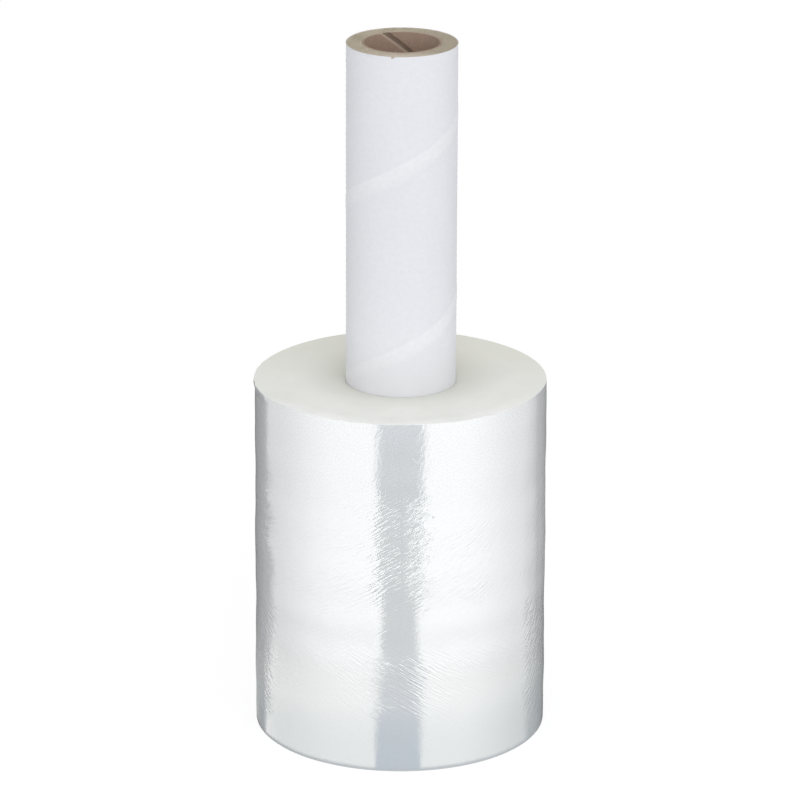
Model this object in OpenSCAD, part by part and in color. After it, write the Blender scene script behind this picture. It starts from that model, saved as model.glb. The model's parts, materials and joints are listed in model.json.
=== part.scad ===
// Hand roll of clear stretch wrap: film wound on a spiral paper core that runs on above
// it as a handle. Millimetres, +Z up, and the origin is the centre of the film's foot face.

/* [Core] */
// Length of the paper core, from the end inside the film to the handle's rim
core_len = 247.2; // [180:0.1:400]
// Distance from the film's foot face in to the core's lower end
core_recess = 0.8; // [0.2:0.1:3]
// Bore of the core, measured inside the liner
bore_d = 26; // [20:0.5:40]
// Thickness of the kraft liner, which is the innermost ply
liner_t = 0.55; // [0.3:0.05:0.8]
// Number of board plies in the wall
board_plies = 7; // [4:1:9]
// Thickness of one board ply
board_ply_t = 0.76; // [0.5:0.01:1]
// Thickness of the white outer paper
paper_t = 0.25; // [0.15:0.05:0.4]
// Glue line under the liner and under the white paper
glue_t = 0.04; // [0.02:0.01:0.1]

/* [Spiral winding] */
// Advance of every ply along the core in one turn
ply_pitch = 65; // [50:1:90]
// Width of the open gap between two turns of the liner
gap_w = 1.6; // [0.8:0.1:4]
// Direction of the liner's gap at the core's lower end, in degrees from +X
gap_phase = 186; // [0:1:359]
// Width over which each turn of the white paper laps on the one before
lap_w = 5.5; // [2:0.1:10]
// Direction of the paper's lap at the core's lower end, in degrees from +X
lap_phase = 209; // [0:1:359]
// Width of the hollow under the paper, where it climbs over the edge of the turn beneath
climb_w = 1; // [0.5:0.1:3]
// Height of that hollow
climb_h = 0.12; // [0.05:0.01:0.14]

/* [Handle rim] */
// Depth of the groove that shows each glued joint at the board's cut ends
joint_depth = 0.15; // [0.05:0.05:0.4]
// Width of that groove
joint_w = 0.2; // [0.1:0.05:0.4]
// Width of the small tear in the white paper at the rim
nick_w = 1.8; // [1:0.1:6]
// Height of that tear
nick_h = 1; // [0.4:0.1:3]
// Direction of the tear, in degrees from +X
nick_phase = 260; // [0:1:359]

/* [Film] */
// Width of the film, which is the height of the roll
film_w = 127; // [80:1:170]
// Diameter of the wound film at half its height
film_d = 102.2; // [70:0.1:150]
// How much wider the roll is at its foot than at its top
film_taper = 0.6; // [0:0.1:2]
// Step at the film's free end, drawn thicker than the film is so that it shows
tail_t = 0.16; // [0.08:0.02:0.4]
// Direction of the free end, in degrees from +X
tail_phase = 62; // [0:1:359]
// Width of one ring of turns on the end faces
ring_w = 1.9; // [1.4:0.1:4]
// Most that a ring of turns sits below the next on an end face
ring_h = 0.24; // [0.1:0.02:0.5]
// Width of the flat outermost ring on which the roll stands
foot_w = 6; // [3:0.5:12]
// Height of the gauge bands, the soft waves along the roll
band_h = 0.1; // [0.05:0.01:0.3]
// Distance from one gauge band to the next
band_l = 45; // [20:1:60]
// How far the slit edges of the film stand proud of the roll
lip_h = 0.2; // [0.1:0.05:0.8]
// Distance over which a proud edge runs out
lip_l = 3; // [2:0.5:10]
// Rounding of the roll's two outer corners
rim_r = 0.6; // [0.3:0.1:1.5]

/* [Hidden] */
$fn = 128;

kraft = [0.50, 0.42, 0.36];
board_brown = [0.64, 0.58, 0.50];
paper_white = [0.91, 0.92, 0.94];
film_milk = [0.86, 0.88, 0.87];

// Radii of the core from the bore outwards, with a glue line on each side of the board.
bore_r = bore_d / 2;
liner_out_r = bore_r + liner_t;
board_in_r = liner_out_r + glue_t;
board_out_r = board_in_r + board_plies * board_ply_t;
paper_in_r = board_out_r + glue_t;
paper_out_r = paper_in_r + paper_t;
lap_out_r = paper_out_r + paper_t;

// The first turn of film is drawn tight over the crest of the lap.
film_bore_r = lap_out_r;
film_r = film_d / 2;

turn_step = 10;       // degrees of winding between two slices of a helical band
whole_faces = 4;      // sides given to a twisted band, so that its flat faces stay whole
cutter_over = 1;      // how far a cutting solid runs past what it cuts
band_step = 4;        // height between two points of the roll's outline
corner_points = 4;    // points that round an outer corner
band_start = -90;     // where the first gauge band begins, in degrees of its wave
second_band = 2.7;    // how many finer waves there are to each gauge band
second_share = 0.5;   // and their height as a share of the band's
ring_scatter = 137.5; // degrees from ring to ring in the sine that scatters their depths
foot_seed = 40;       // where that sine starts on the foot face
top_seed = 0;         // and on the top face
ring_bevel = 1 / 6;   // slope at each side of a ring, as a share of its width

// Degrees around the core, at radius r, that a helical band takes up when it is w wide
// square to its own edges.
function band_angle(w, r) = w / sin(atan2(ply_pitch, 2 * PI * r)) / r * 180 / PI;

// The part of a ring that lies on a helix. The middle of the band starts at angle phase
// and climbs as a right-handed thread.
module helical_band(r_in, r_out, w, phase, len) {
    half_angle = band_angle(w, r_out) / 2;
    far = (r_out + cutter_over) / cos(half_angle);
    near = r_in - cutter_over;
    turning = 360 * len / ply_pitch;
    rotate([0, 0, phase])
        linear_extrude(height = len, twist = -turning, slices = ceil(turning / turn_step), $fn = whole_faces)
            polygon([
                for (side = [-1, 1]) near * [cos(side * half_angle), side * sin(half_angle)],
                for (side = [1, -1]) far * [cos(side * half_angle), side * sin(half_angle)]
            ]);
}

module ring(r_in, r_out, len) {
    difference() {
        cylinder(r = r_out, h = len);
        translate([0, 0, -cutter_over]) cylinder(r = r_in, h = len + 2 * cutter_over);
    }
}

// Innermost ply: one kraft strip wound edge to edge, with an open gap between its turns.
module kraft_liner() {
    color(kraft)
        translate([0, 0, core_recess])
            difference() {
                ring(bore_r, liner_out_r, core_len);
                translate([0, 0, -cutter_over])
                    rotate([0, 0, -360 * cutter_over / ply_pitch])
                        helical_band(bore_r, liner_out_r, gap_w, gap_phase, core_len + 2 * cutter_over);
            }
}

// Wall of the core: brown board plies glued face to face, which show at the two cut
// ends as rings with a fine groove at each joint.
module board_tube() {
    joints = [for (i = [1 : board_plies - 1]) board_in_r + i * board_ply_t];
    color(board_brown)
        translate([0, 0, core_recess])
            rotate_extrude()
                polygon(concat(
                    [[board_in_r, 0]],
                    [for (r = joints) each groove(r, 0, joint_depth)],
                    [[board_out_r, 0], [board_out_r, core_len]],
                    [for (i = [len(joints) - 1 : -1 : 0]) each groove(joints[i], core_len, -joint_depth)],
                    [[board_in_r, core_len]]
                ));
}

// Three points of a V groove at radius r in the end face at height z. A groove into the
// lower end runs outwards and one into the upper end runs inwards, as the outline does.
function groove(r, z, depth) =
    let (half = sign(depth) * joint_w / 2)
    [[r - half, z], [r, z + depth], [r + half, z]];

// Outer ply: white paper wound with its edge lapped over the turn before, so that a
// raised band climbs the core, with a hollow beside it where the paper leaves the board
// to climb over the edge beneath. The rim has one small tear.
module white_paper() {
    hollow_phase = lap_phase + (band_angle(lap_w, lap_out_r) + band_angle(climb_w, paper_in_r)) / 2;
    color(paper_white)
        translate([0, 0, core_recess])
            difference() {
                union() {
                    ring(paper_in_r, paper_out_r, core_len);
                    intersection() {
                        ring(paper_in_r, lap_out_r, core_len);
                        helical_band(paper_in_r, lap_out_r, lap_w, lap_phase, core_len);
                    }
                }
                intersection() {
                    translate([0, 0, -cutter_over])
                        ring(paper_in_r - cutter_over, paper_in_r + climb_h, core_len + 2 * cutter_over);
                    helical_band(paper_in_r - cutter_over, paper_in_r, climb_w, hollow_phase, core_len);
                }
                rotate([0, 0, nick_phase]) nick();
            }
}

// Wedge that takes the tear out of the paper: steep on one side, tapering on the other.
module nick() {
    translate([paper_in_r - cutter_over, 0, core_len])
        rotate([90, 0, 90])
            linear_extrude(height = 2 * cutter_over + 2 * paper_t)
                polygon([
                    [-nick_w * 0.3, cutter_over],
                    [-nick_w * 0.2, -nick_h],
                    [nick_w * 0.05, -nick_h * 0.75],
                    [nick_w * 0.7, 0],
                    [nick_w * 0.7, cutter_over]
                ]);
}

// Radius of the wound film at height z: it tapers a little, rises and falls in soft gauge
// bands, and has a proud slit edge at each end.
function side_r(z) =
    film_r
    + film_taper * (1 / 2 - z / film_w) / 2
    + band_h * sin(360 * z / band_l + band_start)
    + band_h * second_share * sin(360 * second_band * z / band_l)
    + lip_h * (exp(-z / lip_l) + exp(-(film_w - z) / lip_l));

// Depth of ring i of turns below the end face, from 0 to ring_h in no simple order.
function ring_sink(i, seed) = ring_h * (1 + sin(ring_scatter * i + seed)) / 2;

// Rings of turns across an end face, from the bore out to the flat outermost ring. up is
// 1 on the top face and -1 on the foot face.
function end_face(z, up, seed) =
    let (
        flat_r = film_r - foot_w,
        count = max(1, floor((flat_r - film_bore_r) / ring_w)),
        w = (flat_r - film_bore_r) / count,
        bevel = w * ring_bevel
    )
    [
        for (i = [0 : count - 1])
            let (sunk = z - up * ring_sink(i, seed))
            each [
                [i == 0 ? 0 : film_bore_r + i * w + bevel, sunk],
                [film_bore_r + (i + 1) * w - bevel, sunk]
            ],
        [flat_r + bevel, z]
    ];

function reversed(list) = [for (i = [len(list) - 1 : -1 : 0]) list[i]];

// Rounded outer corner of the roll, from the end face out and down the side.
function corner(z, up) =
    let (r = side_r(z - up * rim_r))
    [
        for (i = [0 : corner_points])
            let (a = 90 * i / corner_points)
            [r - rim_r * (1 - sin(a)), z - up * rim_r * (1 - cos(a))]
    ];

// Half section of the wound film, bore not yet cut, with every radius less by shrink.
module film_section(shrink) {
    side_points = floor((film_w - 4 * rim_r) / band_step);
    side = [
        for (i = [1 : side_points - 1])
            let (z = rim_r + (film_w - 2 * rim_r) * i / side_points)
            [side_r(z), z]
    ];
    outline = concat(
        end_face(0, -1, foot_seed), corner(0, -1), side, reversed(corner(film_w, 1)),
        reversed(end_face(film_w, 1, top_seed))
    );
    polygon([for (p = outline) [max(0, p[0] - (p[0] > 0 ? shrink : 0)), p[1]]]);
}

// All turns of the film. Each half is a half turn about its own centre, and the centres
// lie half a step apart. So the surface runs on without a break on one side and makes a
// spiral's single step on the other, which is the film's free end.
module film_roll() {
    color(film_milk)
        rotate([0, 0, tail_phase])
            difference() {
                union() {
                    rotate_extrude(angle = 180) film_section(0);
                    translate([-tail_t / 2, 0, 0])
                        rotate([0, 0, 180])
                            rotate_extrude(angle = 180) film_section(tail_t / 2);
                }
                translate([0, 0, -cutter_over]) cylinder(r = film_bore_r, h = film_w + 2 * cutter_over);
            }
}

kraft_liner();
board_tube();
white_paper();
film_roll();
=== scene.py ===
"""Looks of a hand roll of stretch wrap: glossy wound film on a spiral paper core."""

import json
import math

import bpy
from mathutils import Matrix, Vector, noise


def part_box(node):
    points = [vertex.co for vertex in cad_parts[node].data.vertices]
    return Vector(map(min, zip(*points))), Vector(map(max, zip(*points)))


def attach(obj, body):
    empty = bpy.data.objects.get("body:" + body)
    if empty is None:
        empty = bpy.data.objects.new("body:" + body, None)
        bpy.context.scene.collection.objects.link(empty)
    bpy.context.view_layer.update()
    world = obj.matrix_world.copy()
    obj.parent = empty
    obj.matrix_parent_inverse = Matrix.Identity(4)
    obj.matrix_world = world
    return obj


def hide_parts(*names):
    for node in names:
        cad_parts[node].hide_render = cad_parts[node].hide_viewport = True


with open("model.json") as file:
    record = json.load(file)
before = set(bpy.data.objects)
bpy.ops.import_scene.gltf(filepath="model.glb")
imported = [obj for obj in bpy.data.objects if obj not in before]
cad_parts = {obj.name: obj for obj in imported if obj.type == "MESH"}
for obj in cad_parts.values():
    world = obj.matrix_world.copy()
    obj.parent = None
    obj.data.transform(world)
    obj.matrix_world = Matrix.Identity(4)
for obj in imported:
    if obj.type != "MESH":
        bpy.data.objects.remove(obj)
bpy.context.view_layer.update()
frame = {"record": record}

MM = 0.001
TURN = 2 * math.pi

# Sizes that the frame gives.
film_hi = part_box("film_roll")[1]
core_lo, core_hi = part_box("board_tube")
CORE_FOOT = core_lo.z
RIM = core_hi.z
FILM_TOP = film_hi.z
BORE_R = next(m for m in frame["record"]["mounts"] if m["name"] == "core_bore")["dims"]["r_mm"] * MM

# Sizes of the winding, as the solids have them.
PITCH = 65 * MM
LAP_PHASE = math.radians(209)
LAP_W = 5.5 * MM
GAP_PHASE = math.radians(186)
GAP_W = 1.6 * MM
LINER_R = 13.55 * MM
BOARD_IN_R = 13.59 * MM
BOARD_OUT_R = 18.91 * MM
PAPER_IN_R = 18.95 * MM
PAPER_R = 19.2 * MM
PAPER_T = 0.25 * MM
PLIES = 7
FILM_BORE_R = PAPER_R + PAPER_T
FILM_R = 51.1 * MM
FILM_TAPER = 0.6 * MM
TAIL_T = 0.16 * MM
TAIL_PHASE = math.radians(62)

# Directions around the roll, and the edge angle from which shading breaks.
FRONT = math.radians(270)
LEFT = math.radians(180)
SHARP_EDGE = math.radians(38)


def smooth(x, lo, hi):
    """0 below lo, 1 above hi, and a smooth rise between them."""
    t = min(1.0, max(0.0, (x - lo) / (hi - lo)))
    return t * t * (3 - 2 * t)


def rough(x, y, z):
    """Smooth noise from -1 to 1 at a point given in its own wavelengths."""
    return noise.noise(Vector((x, y, z)))


def turn_from(angle, start):
    """Signed angle from a start direction, from half a turn back to half a turn on."""
    return (angle - start + TURN / 2) % TURN - TURN / 2


def on_circle(r, a, z):
    return r * math.cos(a), r * math.sin(a), z


def winding_rise(r):
    """Angle at which a ply of radius r climbs."""
    return math.atan2(PITCH, TURN * r)


def helix_angle(z, phase):
    """Direction in which a ply's edge lies at height z."""
    return phase + TURN * (z - CORE_FOOT) / PITCH


def band_angle(w, r):
    """Angle around the core that a helical band w wide takes up at radius r."""
    return w / math.sin(winding_rise(r)) / r


LAP_HALF = band_angle(LAP_W, PAPER_R) / 2
LAP_FADE = band_angle(2.2 * MM, PAPER_R)
LAP_STEP = math.radians(3)


def lap_rise(angle, z):
    """Height of the paper's lap in one direction at height z. Its upper edge is a step."""
    d = turn_from(angle, helix_angle(z, LAP_PHASE))
    step = smooth(d, -LAP_HALF - LAP_STEP, -LAP_HALF + LAP_STEP)
    return 0.5 * PAPER_T * step * (1 - smooth(d, LAP_HALF - LAP_FADE, LAP_HALF))


def make_mesh(name, verts, faces, material):
    mesh = bpy.data.meshes.new(name)
    mesh.from_pydata(verts, [], faces)
    mesh.materials.append(material)
    return mesh


def add_object(name, data):
    """Puts a mesh, a lamp or a camera into the scene."""
    thing = bpy.data.objects.new(name, data)
    bpy.context.scene.collection.objects.link(thing)
    return thing


def make_piece(name, verts, faces, material, replaced, uv=None):
    """A mesh piece that rides on the roll and stands for one solid. uv gives a place per vertex."""
    mesh = make_mesh(name, verts, faces, material)
    if uv is not None:
        layer = mesh.uv_layers.new(name="wound")
        corners = [0.0] * (2 * len(mesh.loops))
        for k, loop in enumerate(mesh.loops):
            corners[2 * k], corners[2 * k + 1] = uv[loop.vertex_index]
        layer.data.foreach_set("uv", corners)
    mesh.validate()
    mesh.shade_smooth()
    mesh.set_sharp_from_angle(angle=SHARP_EDGE)
    piece = add_object(name, mesh)
    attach(piece, "root")
    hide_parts(replaced)
    return piece


def ring_faces(rows, columns, closed_rows=False):
    """Quads that join rows of vertices around the axis, each row closed on itself."""
    faces = []
    for i in range(rows if closed_rows else rows - 1):
        a, b = i * columns, ((i + 1) % rows) * columns
        for j in range(columns):
            k = (j + 1) % columns
            faces.append((a + j, a + k, b + k, b + j))
    return faces


# Materials


class Nodes:
    """The node tree of a material or a world, built with short calls."""

    def __init__(self, owner, output):
        owner.use_nodes = True
        self.tree = owner.node_tree
        self.tree.nodes.clear()
        self.out = self.add(output)

    def add(self, kind, **settings):
        node = self.tree.nodes.new(kind)
        for key, value in settings.items():
            setattr(node, key, value)
        return node

    def put(self, socket, value):
        if isinstance(value, bpy.types.NodeSocket):
            self.tree.links.new(value, socket)
        else:
            socket.default_value = value

    def fill(self, node, **values):
        """Sets or links inputs by name, with _ for a space."""
        for key, value in values.items():
            self.put(node.inputs[key.replace("_", " ")], value)
        return node

    def show(self, shading):
        self.tree.links.new(shading, self.out.inputs["Surface"])

    def math(self, operation, *values):
        node = self.add("ShaderNodeMath", operation=operation)
        for socket, value in zip(node.inputs, values):
            self.put(socket, value)
        return node.outputs[0]

    def chain(self, operation, first, *others):
        """An operation on two values, with its result carried on to each value that follows."""
        for other in others:
            first = self.math(operation, first, other)
        return first

    def times(self, *values):
        return self.chain("MULTIPLY", *values)

    def total(self, *values):
        return self.chain("ADD", *values)

    def ramp(self, value, lo, hi, to_lo=0.0, to_hi=1.0):
        """to_lo below lo, to_hi above hi, and a smooth change between them."""
        node = self.add("ShaderNodeMapRange", interpolation_type="SMOOTHSTEP")
        self.fill(node, Value=value, From_Min=lo, From_Max=hi, To_Min=to_lo, To_Max=to_hi)
        return node.outputs["Result"]

    def seen_by(self, rays):
        """1 for what the camera sees, directly, mirrored or through something, and 0 for other light."""
        shown = self.math("MAXIMUM", rays.outputs["Is Camera Ray"], rays.outputs["Is Glossy Ray"])
        return self.math("MAXIMUM", shown, rays.outputs["Is Transmission Ray"])


class Shader(Nodes):
    """A node material."""

    def __init__(self, name):
        self.material = bpy.data.materials.new(name)
        super().__init__(self.material, "ShaderNodeOutputMaterial")

    def place(self):
        return self.add("ShaderNodeTexCoord").outputs["Object"]

    def facing(self):
        """Upward part of the surface's direction."""
        return self.axes(self.add("ShaderNodeTexCoord").outputs["Normal"])[2]

    def wound(self):
        """Place along the winding, which the mesh carries."""
        return self.add("ShaderNodeUVMap", uv_map="wound").outputs["UV"]

    def axes(self, vector):
        node = self.add("ShaderNodeSeparateXYZ")
        self.put(node.inputs[0], vector)
        return node.outputs["X"], node.outputs["Y"], node.outputs["Z"]

    def distance_from_axis(self, x, y):
        return self.math("SQRT", self.total(self.math("POWER", x, 2.0), self.math("POWER", y, 2.0)))

    def mix(self, share, a, b):
        """Colour a where the share is 0, and colour b where it is 1."""
        node = self.add("ShaderNodeMix", data_type="RGBA")
        # The node's sockets for colours are numbers 6 and 7.
        for socket, value in zip((node.inputs[0], node.inputs[6], node.inputs[7]), (share, a, b)):
            self.put(socket, value)
        return node.outputs[2]

    def noise(self, vector, scale, detail=2.0, roughness=0.5):
        node = self.add("ShaderNodeTexNoise")
        self.fill(node, Vector=vector, Scale=scale, Detail=detail, Roughness=roughness)
        return node.outputs["Fac"]

    def mapping(self, vector, **how):
        return self.fill(self.add("ShaderNodeMapping"), Vector=vector, **how).outputs["Vector"]

    def bump(self, height, distance, **more):
        node = self.fill(self.add("ShaderNodeBump"), Height=height, Distance=distance, **more)
        return node.outputs["Normal"]

    def glow(self, **how):
        return self.fill(self.add("ShaderNodeEmission"), **how).outputs[0]

    def surface(self, **inputs):
        self.show(self.fill(self.add("ShaderNodeBsdfPrincipled"), **inputs).outputs[0])
        return self.material


def colour(r, g, b):
    """A colour written as 0 to 255 sRGB."""
    return (*(((c / 255 + 0.055) / 1.055) ** 2.4 for c in (r, g, b)), 1.0)


def film_material():
    """Clear film wound solid: milky inside, with a glossy skin that has fine tension streaks."""
    s = Shader("film")
    # Here lengths are in mm. round_way runs around the roll from the film's free end.
    place = s.mapping(s.wound(), Scale=(1 / MM, 1 / MM, 1))
    round_way, z, _ = s.axes(place)
    front = (FRONT - TAIL_PHASE) * FILM_R / MM
    offset = s.math("SUBTRACT", round_way, front)
    off_front = s.math("ABSOLUTE", offset)
    on_left, on_right = s.ramp(offset, -1, 1, 1, 0), s.ramp(offset, -1, 1)
    at_sides = s.ramp(off_front, 46, 56)
    at_edges = s.times(s.ramp(off_front, 54, 62), s.ramp(off_front, 78, 92, 0.45, 0))
    calm_top = (97, 104)

    def stretched(across, along, vector=place, **how):
        return s.noise(s.mapping(vector, Scale=(1 / along, 1 / across, 1)), 1.0, detail=1.0, **how)

    def streaks(angle, across, along, seed):
        turn = (0, 0, math.radians(-angle))
        turned = s.mapping(place, Rotation=turn, Location=(seed, seed, 0))
        return stretched(across, along, turned, roughness=0.4)

    # Streaks rise to the right over the upper half, and fall to the right near the foot.
    patchy = s.ramp(stretched(11, 16), 0.35, 0.6, 0.75, 1.0)
    rising = s.times(s.ramp(z, 55, 68, 0.2, 1), s.ramp(z, *calm_top, 1, 0.06))
    rising_round = s.total(s.ramp(off_front, 18, 40, 1, 0.6), s.times(at_edges, 1.6))
    up = s.times(streaks(31, 0.68, 5.0, 0), s.times(rising, rising_round), patchy)
    falling = s.times(s.ramp(z, 16, 25, 0.15, 1), s.ramp(z, 38, 48, 1, 0))
    falling_round = s.ramp(off_front, 13, 26, 1, 0.35)
    down = s.times(streaks(-31, 0.6, 6.0, 40), falling, s.times(falling_round, patchy))
    # Creases and feathers ruffle the skin where it turns away to the sides.
    creased = s.times(at_sides, s.ramp(z, 5, 12), s.ramp(z, 48, 60, 1, 0))
    creases = s.total(
        s.times(streaks(-24, 0.7, 4.5, 70), on_left),
        s.times(streaks(36, 0.8, 4.0, 20), on_right),
    )
    feathers = s.times(streaks(35, 0.7, 3.0, 120), at_edges)
    flutter = s.times(streaks(62, 1.0, 2.2, 150), s.ramp(z, 92, 104, 0.04, 0.17))
    folds = s.total(s.times(creases, creased, 1.2), s.total(feathers, flutter))
    skin = s.bump(s.total(up, s.times(down, 0.9), folds), 0.23 * MM)
    # Fine grain dulls both ends of the roll.
    grain_share = s.total(s.ramp(z, 98, 106, 1, 1.3), s.ramp(z, 12, 24, 0.8, 0))
    skin = s.bump(s.times(streaks(8, 0.4, 0.5, 90), grain_share), 0.026 * MM, Normal=skin)

    # Painted shade: the milky film is painted greyer toward the foot.
    milk = s.mix(s.ramp(z, 6, 32, 1, 0), colour(227, 230, 231), colour(212, 218, 222))
    dotted = s.times(s.ramp(stretched(0.5, 0.6), 0.35, 0.65), s.ramp(z, 90, 106, 0.16, 0.36))
    milk = s.mix(dotted, milk, colour(196, 200, 206))
    # One short pale scratch, and one dark speck.
    scratch_x, scratch_z, scratch_angle = front + 4.6, 114.7, math.radians(50)
    scratch = s.mapping(place, Location=(-scratch_x, -scratch_z, 0))
    along, across, _ = s.axes(s.mapping(scratch, Rotation=(0, 0, scratch_angle)))
    across = s.ramp(s.math("ABSOLUTE", across), 0.1, 0.3, 1, 0)
    along = s.ramp(s.math("ABSOLUTE", along), 1.1, 1.6, 1, 0)
    milk = s.mix(s.times(across, along), milk, colour(240, 242, 244))
    speck_x, speck_z = front + 11.7, 93.9
    speck = s.add("ShaderNodeVectorMath", operation="DISTANCE")
    s.put(speck.inputs[0], place)
    s.put(speck.inputs[1], (speck_x, speck_z, 0))
    milk = s.mix(s.ramp(speck.outputs["Value"], 0.3, 0.6, 0.6, 0), milk, colour(150, 150, 152))
    return s.surface(Base_Color=milk, Roughness=0.055, IOR=1.8, Normal=skin)


def film_end_material():
    """Cut edges of the film's turns, satin, with fine rings."""
    s = Shader("film_edges")
    place = s.place()
    x, y, _ = s.axes(place)
    radius = s.distance_from_axis(x, y)
    rings = s.add("ShaderNodeCombineXYZ")
    s.put(rings.inputs["X"], radius)
    turns = s.noise(rings.outputs[0], 900.0, detail=4.0, roughness=0.7)
    cloud = s.noise(place, 90.0)
    # The shade around the core reaches a little further behind it than before it.
    shade_back = 4 * MM
    from_core = s.distance_from_axis(x, s.math("SUBTRACT", y, shade_back))
    pale = colour(249, 250, 247)
    tone = s.mix(s.ramp(from_core, 13 * MM, 40 * MM), colour(203, 204, 193), colour(236, 237, 231))
    # Painted light and shade: the end face is paler toward its front rim and the front, and darker
    # toward the back.
    painted_rim_light = s.times(s.ramp(radius, 42 * MM, 49 * MM), s.ramp(y, -42 * MM, -18 * MM, 1, 0))
    tone = s.mix(painted_rim_light, tone, pale)
    tone = s.mix(s.ramp(y, -44 * MM, -12 * MM, 0.4, 0), tone, pale)
    tone = s.mix(s.ramp(y, -10 * MM, 30 * MM, 0, 0.45), tone, colour(219, 219, 203))
    tone = s.mix(s.ramp(cloud, 0.4, 0.7, 0, 0.25), tone, colour(222, 223, 217))
    # Painted shade: the steep faces of the rim are painted darker, against the front lamp that falls on
    # them.
    painted_steep_shade = s.ramp(s.math("ABSOLUTE", s.facing()), 0.75, 0.97, 0.85, 0)
    tone = s.mix(painted_steep_shade, tone, colour(206, 210, 212))
    return s.surface(Base_Color=tone, Roughness=0.42, Normal=s.bump(turns, 0.02 * MM))


def paper_material():
    """White outer paper: whiter where it laps on itself, because less of the board shows through."""
    s = Shader("white_paper")
    place = s.place()
    # Here the place across the lap is in mm.
    across = s.axes(s.wound())[0]
    lapped = s.times(s.ramp(across, -3.2, -2.4), s.ramp(across, 0.4, 3.6, 1, 0))
    fibre = s.noise(place, 700.0, detail=5.0, roughness=0.65)
    cloud = s.noise(place, 60.0, detail=3.0)
    tone = s.mix(cloud, colour(233, 235, 240), colour(238, 239, 244))
    tone = s.mix(lapped, tone, colour(241, 242, 246))
    tone = s.mix(s.ramp(fibre, 0.38, 0.62, 0, 0.2), tone, colour(222, 224, 230))
    # Painted shade: the paper is painted greyer close above the film.
    painted_shade_reach = 22 * MM
    painted_shade_near_film = s.ramp(s.axes(place)[2], FILM_TOP, FILM_TOP + painted_shade_reach, 0.6, 0)
    tone = s.mix(painted_shade_near_film, tone, colour(214, 213, 216))
    cut_edge = s.ramp(s.facing(), 0.5, 0.8, 0, 0.8)
    tone = s.mix(cut_edge, tone, colour(176, 163, 146))
    normal = s.bump(cloud, 0.2 * MM, Normal=s.bump(fibre, 0.03 * MM))
    return s.surface(Base_Color=tone, Roughness=0.62, Specular_IOR_Level=0.2, Normal=normal)


def board_material():
    """Grey brown board: fibrous plies with paler glue joints between them."""
    s = Shader("core_board")
    place = s.place()
    x, y, _ = s.axes(place)
    radius = s.distance_from_axis(x, y)
    ply_t = (BOARD_OUT_R - BOARD_IN_R) / PLIES
    ply = s.math("DIVIDE", s.math("SUBTRACT", radius, BOARD_IN_R), ply_t)
    wander = s.times(s.noise(place, 140.0), 0.5)
    joint = s.math("PINGPONG", s.total(ply, wander), 0.5)
    fibre = s.noise(place, 1500.0, detail=4.0, roughness=0.7)
    cloud = s.noise(place, 260.0, detail=3.0)
    tone = s.mix(s.ramp(cloud, 0.3, 0.7), colour(140, 127, 105), colour(166, 154, 132))
    tone = s.mix(s.ramp(fibre, 0.4, 0.75), tone, colour(190, 180, 160))
    tone = s.mix(s.ramp(joint, 0.0, 0.2, 0.85, 0), tone, colour(214, 206, 192))
    # The cut end is darker to the right and paler at the front.
    tone = s.mix(s.ramp(x, 2 * MM, 17 * MM, 0, 0.35), tone, colour(142, 132, 114))
    tone = s.mix(s.ramp(y, -18.5 * MM, -13 * MM, 0.75, 0), tone, colour(202, 188, 174))
    # Painted shade: the board's inner wall, which shows through the liner's gap, is painted darker.
    painted_gap_shade = s.ramp(radius, BOARD_IN_R, BOARD_IN_R + 0.1 * MM, 1, 0)
    tone = s.mix(s.times(painted_gap_shade, 0.85), tone, colour(118, 98, 84))
    return s.surface(Base_Color=tone, Roughness=0.85, Normal=s.bump(fibre, 0.1 * MM))


def liner_material():
    """Raw kraft liner of the bore, with a painted highlight along its edge beside the gap."""
    s = Shader("kraft_liner")
    place = s.place()
    fibre = s.noise(place, 1300.0, detail=4.0, roughness=0.7)
    cloud = s.noise(place, 120.0, detail=3.0)
    tone = s.mix(cloud, colour(147, 123, 107), colour(168, 144, 126))
    tone = s.mix(s.ramp(fibre, 0.5, 0.8), tone, colour(184, 163, 146))
    # Here the place across the strip is in mm.
    across = s.axes(s.wound())[0]
    # Painted highlight: a pale line along the strip's edge beside the gap.
    tone = s.mix(s.ramp(across, 0.5, 1.1, 0.55, 0), tone, colour(196, 182, 166))
    return s.surface(Base_Color=tone, Roughness=0.8, Normal=s.bump(fibre, 0.05 * MM))


# Pieces


def film_side_r(z):
    """Mean radius of the wound film at height z. It is drawn in a little under the top face."""
    long_band, short_band, waist_drop, waist_reach = 45 * MM, 16.7 * MM, 6 * MM, 9 * MM
    bands = 0.1 * math.sin(TURN * z / long_band - TURN / 4) + 0.05 * math.sin(TURN * z / short_band)
    waist = 0.08 * math.exp(-(((FILM_TOP - waist_drop - z) / waist_reach) ** 2))
    return FILM_R + FILM_TAPER * (0.5 - z / FILM_TOP) / 2 + (bands - waist) * MM


def film_lip(angle, z):
    """The slit edge at the top, which stands out and ragged along one stretch."""
    proud, reach = 0.6 * MM, (3.2 * MM, 1.2 * MM)
    stretch = 1 - smooth(abs(turn_from(angle, LEFT)), math.radians(8), math.radians(34))
    ragged = 0.75 + 0.5 * rough(14 * angle, 3, 0)
    return proud * stretch * ragged * smooth(z, FILM_TOP - reach[0], FILM_TOP - reach[1])


def film_proud(angle):
    """How far the outermost turns stand above the top face. They stand highest along the front."""
    off = turn_from(angle, FRONT)
    front = smooth(off, math.radians(-68), math.radians(-48))
    front *= 1 - smooth(off, math.radians(68), math.radians(95))
    return (0.2 + (0.65 + 0.15 * rough(4 * angle, 8, 0)) * front) * MM


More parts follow.
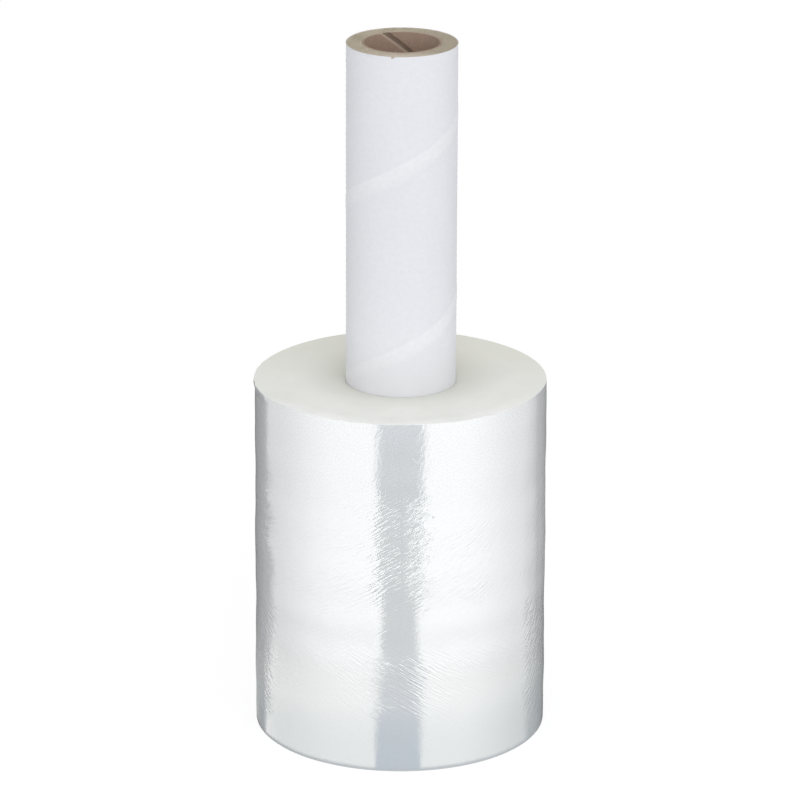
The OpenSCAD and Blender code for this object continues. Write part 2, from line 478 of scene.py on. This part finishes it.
def film_side(z, t):
    """Radius and direction of the skin at height z, at the share t of a turn from the free end."""
    ragged = 0.03 * rough(z / (9 * MM), 3.3, 0) + 0.008 * rough(z / (1.6 * MM), 7.1, 0)
    a = TAIL_PHASE + ragged + TURN * t
    x, y, _ = on_circle(1, a, 0)
    wave = 0.09 * rough(3 * x, 3 * y, z / (30 * MM)) + 0.035 * rough(9 * x, 9 * y, z / (7 * MM))
    return film_side_r(z) - TAIL_T * t + wave * MM + film_lip(a, z), a


def film_end_sink(r, bore, outer):
    """How far the turns at radius r stand below the end face. They dip where they meet the core."""
    rings = 0.05 * (1 + rough(r / (1.1 * MM), 0, 5)) + 0.03 * (1 + rough(r / (0.3 * MM), 9, 5))
    dip = 0.45 * math.exp(-(r - bore) / (0.9 * MM))
    return (rings + dip) * MM * (1 - smooth(r, outer - 2 * MM, outer))


def film_piece():
    """The wound film as one closed skin: bore, foot face, side, rounded rim and top face."""
    columns, side_rows, end_rows, rim_rows = 480, 144, 24, 4
    foot_rim, rim_wide, rim_high = 0.15 * MM, 0.12 * MM, 0.05 * MM
    clearance, bore_run, close_row = 0.05 * MM, 3 * MM, 0.1 * MM
    proud_width, proud_height = 12 * MM, 8 * MM
    shares = [j / columns for j in range(columns + 1)]
    # Faces near the core are narrower than those near the rim.
    end_shares = [(i / end_rows) ** 1.3 for i in range(end_rows + 1)]
    rows = []

    def add_row(place_at, height, is_side):
        rows.append(([on_circle(*place_at(t)) for t in shares], height, is_side))

    def face_row(share, face, up, inset):
        def place_at(t):
            edge, a = film_side(face, t)
            bore = PAPER_R + lap_rise(a, face) + clearance
            outer = edge - inset
            r = bore + (outer - bore) * share
            lift = film_proud(a) * smooth(r, outer - proud_width, outer) if up > 0 else 0.0
            return r, a, face - up * film_end_sink(r, bore, outer) + lift

        add_row(place_at, face, False)

    def bore_row(z):
        add_row(lambda t: (FILM_BORE_R, film_side(z, t)[1], z), z, False)

    def side_row(z):
        share = smooth(z, FILM_TOP - proud_height, FILM_TOP)

        def place_at(t):
            r, a = film_side(z, t)
            return r, a, z + film_proud(a) * share

        add_row(place_at, z, True)

    def rim_row(angle):
        z = FILM_TOP - rim_high * (1 - math.sin(angle))

        def place_at(t):
            r, a = film_side(z, t)
            return r - rim_wide * (1 - math.cos(angle)), a, z + film_proud(a)

        add_row(place_at, z, False)

    bore_row(bore_run)
    for share in end_shares:
        face_row(share, 0.0, -1, foot_rim)
    side_top = FILM_TOP - rim_high
    for i in range(side_rows):
        side_row(foot_rim + (side_top - foot_rim) * i / side_rows)
    # A close row below the rim keeps the rim's rounding out of the side's reflections.
    side_row(side_top - close_row)
    side_row(side_top)
    for i in range(1, rim_rows + 1):
        rim_row(TURN / 4 * i / rim_rows)
    for share in end_shares[-2::-1]:
        face_row(share, FILM_TOP, 1, rim_wide)
    bore_row(FILM_TOP - bore_run)

    verts = [point for points, height, is_side in rows for point in points]
    uv = [(TURN * FILM_R * t, height) for points, height, is_side in rows for t in shares]
    width = columns + 1
    faces, face_sides = [], []
    for i, (points, height, is_side) in enumerate(rows):
        after = (i + 1) % len(rows)
        a, b = i * width, after * width
        on_side = is_side and rows[after][2]
        for j in range(columns):
            faces.append((a + j, a + j + 1, b + j + 1, b + j))
        # The free end of the film closes the skin between its last and its first column.
        faces.append((a + columns, a, b, b + columns))
        face_sides += [on_side] * (columns + 1)
    piece = make_piece("film", verts, faces, film_material(), "film_roll", uv)
    piece.data.materials.append(film_end_material())
    for polygon, on_side in zip(piece.data.polygons, face_sides):
        polygon.material_index = 0 if on_side else 1
    return piece


def tear_depth(a):
    """Depth of the small tear at the paper's rim. It is steep on one side and long on the other."""
    deepest, middle = 0.65 * MM, math.radians(260.5)
    x = (a - middle) * PAPER_R / MM
    return deepest * smooth(x, -0.75, -0.45) * (1 - smooth(x, -0.2, 1.1))


def paper_piece():
    """White outer ply, with its raised lap and the small tear at the rim."""
    columns, rows = 360, 114
    wave_height, rim_rough, rim_drop = 0.03 * MM, 0.05 * MM, 0.03 * MM
    verts, uv = [], []
    for i in range(rows + 1):
        height = CORE_FOOT + (RIM - CORE_FOOT) * i / rows
        lap = helix_angle(height, LAP_PHASE)
        for j in range(columns):
            d = TURN * (j / columns - 0.5)
            a = (lap + d) % TURN
            x, y, z = on_circle(1, a, height)
            r = PAPER_R + lap_rise(a, height) + wave_height * rough(4 * x, 4 * y, height / (25 * MM))
            if i == rows:
                z += rim_rough * rough(20 * x, 20 * y, 2) - tear_depth(a) - rim_drop
            verts.append((r * x, r * y, z))
            uv.append((d * PAPER_R / MM * math.sin(winding_rise(PAPER_R)), z))
    # The inner wall has one row at the rim and one at the foot.
    for ring, foot in ((verts[-columns:], None), (verts[:columns], CORE_FOOT)):
        for x, y, z in ring:
            k = PAPER_IN_R / math.hypot(x, y)
            verts.append((x * k, y * k, z if foot is None else foot))
            uv.append((0.0, z))
    outer_rows = rows + 1
    faces = ring_faces(outer_rows, columns)
    # Rows follow the lap around, so the rim's columns are turned against the foot's.
    turned = round((RIM - CORE_FOOT) / PITCH * columns) % columns
    last, inner_top, inner_foot = rows * columns, outer_rows * columns, (outer_rows + 1) * columns
    for j in range(columns):
        k = (j + 1) % columns
        p, q = (j + turned) % columns, (k + turned) % columns
        faces.append((last + j, last + k, inner_top + k, inner_top + j))
        faces.append((inner_top + j, inner_top + k, inner_foot + q, inner_foot + p))
        faces.append((inner_foot + j, inner_foot + k, k, j))
    return make_piece("outer_paper", verts, faces, paper_material(), "white_paper", uv)


def board_piece():
    """Board wall of the core, with uneven plies at its cut ends."""
    columns, per_ply = 360, 6
    steps = PLIES * per_ply
    mean_drop, joint_drop, wander = 0.09, 0.07, 0.06 * MM
    verts = []

    def end_drop(r, a, joint):
        x, y, _ = on_circle(r / MM, a, 0)
        drop = 0.06 * rough(x / 2.5, y / 2.5, 1) + 0.03 * rough(x / 0.5, y / 0.5, 4) - mean_drop
        return (drop - (joint_drop if joint else 0.0)) * MM

    for top in (False, True):
        order = range(steps, -1, -1) if top else range(steps + 1)
        for k in order:
            inner = 0 < k < steps
            for j in range(columns):
                a = TURN * j / columns
                r = BOARD_IN_R + (BOARD_OUT_R - BOARD_IN_R) * k / steps
                if inner:
                    r += wander * rough(5 * math.cos(a), 5 * math.sin(a), (k // per_ply) * 3.1)
                drop = end_drop(r, a, inner and k % per_ply == 0)
                verts.append(on_circle(r, a, RIM + drop if top else CORE_FOOT - drop))
    faces = ring_faces(2 * (steps + 1), columns, closed_rows=True)
    return make_piece("board", verts, faces, board_material(), "board_tube")


def liner_piece():
    """Kraft liner as one wound strip with an open gap between its turns."""
    across, rows = 90, 170
    rim_rough = 0.05 * MM
    half = band_angle(GAP_W, LINER_R) / 2
    strip_angle = TURN - 2 * half
    strip_w = strip_angle * LINER_R / MM * math.sin(winding_rise(LINER_R))
    verts, uv = [], []
    for r in (BORE_R, LINER_R):
        for i in range(rows + 1):
            height = CORE_FOOT + (RIM - CORE_FOOT) * i / rows
            gap = helix_angle(height, GAP_PHASE)
            for j in range(across + 1):
                a = gap + half + strip_angle * j / across
                x, y, z = on_circle(1, a, height)
                if i == rows:
                    z -= rim_rough * (1 + rough(9 * x, 9 * y, 8))
                verts.append((r * x, r * y, z))
                uv.append((strip_w * j / across, z / MM))
    wide = across + 1
    outside = wide * (rows + 1)
    faces = []
    for i in range(rows):
        for j in range(across):
            a = i * wide + j
            b = outside + a
            faces.append((a, a + wide, a + wide + 1, a + 1))
            faces.append((b, b + 1, b + wide + 1, b + wide))
    # The strip's thickness shows beside the gap, and at the foot and the rim.
    for i in range(rows):
        for j in (0, across):
            a = i * wide + j
            quad = (a, outside + a, outside + a + wide, a + wide)
            faces.append(quad if j == 0 else quad[::-1])
    for j in range(across):
        for i in (0, rows):
            a = i * wide + j
            quad = (a, a + 1, outside + a + 1, outside + a)
            faces.append(quad if i == 0 else quad[::-1])
    return make_piece("liner", verts, faces, liner_material(), "kraft_liner", uv)


film_piece()
paper_piece()
board_piece()
liner_piece()

# Stage

CARD_GLOW = 5.0


def stage_object(name, verts, faces, material):
    thing = add_object(name, make_mesh(name, verts, faces, material))
    return thing


def only_mirrored(thing):
    """Hides a card from everything but reflections."""
    thing.visible_camera = False
    thing.visible_diffuse = False
    thing.visible_transmission = False
    thing.visible_shadow = False


def floor_material():
    """Pale floor that shows white, and keeps the roll's shadow."""
    s = Shader("floor")
    shown = s.seen_by(s.add("ShaderNodeLightPath"))
    tone = s.mix(shown, (0.1, 0.1, 0.1, 1), (0.2, 0.2, 0.2, 1))
    diffuse = s.fill(s.add("ShaderNodeBsdfDiffuse"), Color=tone)
    both = s.add("ShaderNodeAddShader")
    s.put(both.inputs[0], diffuse.outputs[0])
    s.put(both.inputs[1], s.glow(Strength=s.ramp(shown, 0, 1, 0.42, 0.84)))
    s.show(both.outputs[0])
    return s.material


def floor():
    reach = 6.0
    corners = [(-reach, -reach, 0), (reach, -reach, 0), (reach, reach, 0), (-reach, reach, 0)]
    stage_object("floor", corners, [(0, 1, 2, 3)], floor_material())


def mirrored_place(azimuth, reach):
    """Place on the table whose direction the film mirrors to the camera, reach away from the film."""
    half, way = math.radians(azimuth / 2), math.radians(azimuth)
    x = FILM_R * math.sin(half) + reach * math.sin(way)
    y = -FILM_R * math.cos(half) - reach * math.cos(way)
    return x, y


def reflection_tint(azimuth, distance):
    """Light that the film mirrors, by degrees from the front and distance on the table.

    The foot of the roll mirrors the table near it, and its top mirrors the table far off.
    """
    side, right, mm = abs(azimuth), azimuth > 0, distance / MM
    near = 1 - (smooth(mm, 105, 145) if right else smooth(mm, 60, 95))
    far = smooth(mm, 30, 130)
    top = smooth(mm, 295, 345)
    at_foot = 0.14 * (1 - smooth(mm, 42, 66))

    # The bright part fades to the sides.
    fall = 0.7 - 0.04 * smooth(mm, 290, 340) - (0 if right else 0.3 * near)
    level = 4.5 * (1 - fall * smooth(side, 40, 130))
    low = smooth(mm, 20, 50) * (1 - smooth(mm, 60, 90))
    level *= 0.74 + 0.06 * low + 0.26 * smooth(mm, 85, 135)
    bright = (level, level * 0.995, level * (0.93 + 0.07 * far))

    # The dark band in the middle is narrower at half height, and ends far off.
    pinch = smooth(mm, 50, 110) * (1 - smooth(mm, 175, 215))
    half = 17.8 - 4.2 * pinch
    off_centre = abs(azimuth + 1.3 * (1 - smooth(mm, 60, 110)))
    in_band = (1 - smooth(off_centre, half - 1.5, half + 1.5)) * (1 - smooth(mm, 560, 640))
    dark = (0.2 + 0.2 * far + 0.4 * top, 0.4 + 0.1 * far + 0.4 * top, 0.7 - 0.15 * far + 0.53 * top)

    # Beyond the bright part, both rims of the film are dark.
    if right:
        ragged = 5 * near * rough(mm / 14, 2, 0)
        past_edge = smooth(side, 112 + 4 * near + ragged, 143 - 14 * near + ragged)
        rim = 0.2 - 0.14 * near + 0.4 * at_foot
    else:
        edge = 123 + 8 * smooth(mm, 190, 270) + 14 * near
        past_edge = smooth(side, edge - 6, edge + 4)
        rim = 0.05 + (0.09 + 0.18 * near) * smooth(side, 148, 166) + at_foot
    lit = smooth(mm, 0.5, 3)
    mixed = []
    for b, d in zip(bright, dark):
        value = b + (d - b) * in_band
        mixed.append(lit * (value + (rim - value) * past_edge))
    return mixed


def reflector():
    """A lit card around the roll that only reflections see. Its dark part faces the camera."""
    spokes, rings, wall_rings = 720, 110, 8
    outer, wall_height, wall_reach, above_floor = 900 * MM, 700 * MM, 125, 0.3 * MM
    azimuths = [360 * j / (spokes - 1) - 180 for j in range(spokes)]
    verts, faces, tints = [], [], []
    for i in range(rings + wall_rings + 1):
        reach = outer * min(1, i / rings) ** 1.6
        height = above_floor + wall_height * max(0, i - rings) / wall_rings
        for azimuth in azimuths:
            verts.append((*mirrored_place(azimuth, reach), height))
            tints.append((*(value / CARD_GLOW for value in reflection_tint(azimuth, reach)), 1.0))
    for i in range(rings + wall_rings):
        for j in range(spokes - 1):
            a = i * spokes + j
            if i < rings or abs(azimuths[j]) < wall_reach:
                faces.append((a, a + 1, a + spokes + 1, a + spokes))
    s = Shader("reflector")
    tone = s.add("ShaderNodeVertexColor", layer_name="level").outputs["Color"]
    s.show(s.glow(Color=tone, Strength=CARD_GLOW))
    card = stage_object("reflector", verts, faces, s.material)
    layer = card.data.color_attributes.new("level", "FLOAT_COLOR", "POINT")
    for k, value in enumerate(tints):
        layer.data[k].color = value
    only_mirrored(card)


def flags():
    """Dark fins that only reflections see.

    Each stands in a plane in which the camera's rays are mirrored, so it does not show from
    the front. It keeps the film's outline dark from the sides and the back.
    """
    # Name, degrees from the front, start and end in mm from the film, and glow.
    places = (
        ("flag_front", 0, 0.8, 12, 0.2),
        ("flag_left", -136, 2, 28, 0.2),
        ("flag_right", 136, 2, 28, 0.2),
        ("flag_left_outer", -136, 28, 50, 0.5),
        ("flag_right_outer", 136, 28, 50, 0.5),
    )
    above_floor = 0.5 * MM
    for name, azimuth, start, end, strength in places:
        s = Shader(name)
        s.show(s.glow(Strength=strength))
        feet = [mirrored_place(azimuth, reach * MM) for reach in (start, end)]
        verts = [(x, y, z) for x, y in feet for z in (above_floor, FILM_TOP)]
        only_mirrored(stage_object(name, verts, [(0, 1, 3, 2)], s.material))


def front_light():
    """A large soft lamp in front of the roll, to the right and above."""
    place, target = Vector((0.25, -1.3, 0.9)), Vector((0, 0, 0.12))
    data = bpy.data.lights.new("front_light", "AREA")
    data.shape = "RECTANGLE"
    data.size, data.size_y = 1.2, 0.9
    data.energy = 7.0
    lamp = add_object("front_light", data)
    turn = (target - place).to_track_quat("-Z", "Y").to_matrix().to_4x4()
    lamp.matrix_world = Matrix.Translation(place) @ turn
    lamp.visible_camera = False
    lamp.visible_glossy = False


def world_light():
    """White to the camera, and a little less than white to the light that falls on things."""
    world = bpy.data.worlds.new("studio")
    bpy.context.scene.world = world
    sky = Nodes(world, "ShaderNodeOutputWorld")
    shown = sky.seen_by(sky.add("ShaderNodeLightPath"))
    level = sky.fill(sky.add("ShaderNodeMapRange"), Value=shown, To_Min=0.95, To_Max=1.0)
    back = sky.fill(sky.add("ShaderNodeBackground"), Strength=level.outputs["Result"])
    sky.show(back.outputs[0])


def camera():
    """The photograph's camera, found from the outlines of the film and the core."""
    distance, aim_height = 1.6942, 0.1188
    pitch, roll = math.radians(19.53), math.radians(0.204)
    picture_width, focal_length, centre_offset = 800, 4854, 0.85
    data = bpy.data.cameras.new("camera")
    data.sensor_width = 36
    data.lens = data.sensor_width * focal_length / picture_width
    data.shift_x = -centre_offset / picture_width
    data.clip_end = 50
    shooter = add_object("camera", data)
    place = Vector((0, -distance * math.cos(pitch), aim_height + distance * math.sin(pitch)))
    turn = Matrix.Rotation(math.pi / 2 - pitch, 4, "X") @ Matrix.Rotation(roll, 4, "Z")
    shooter.matrix_world = Matrix.Translation(place) @ turn
    bpy.context.scene.camera = shooter


floor()
reflector()
flags()
front_light()
world_light()
camera()
bpy.context.scene.view_settings.view_transform = "Standard"
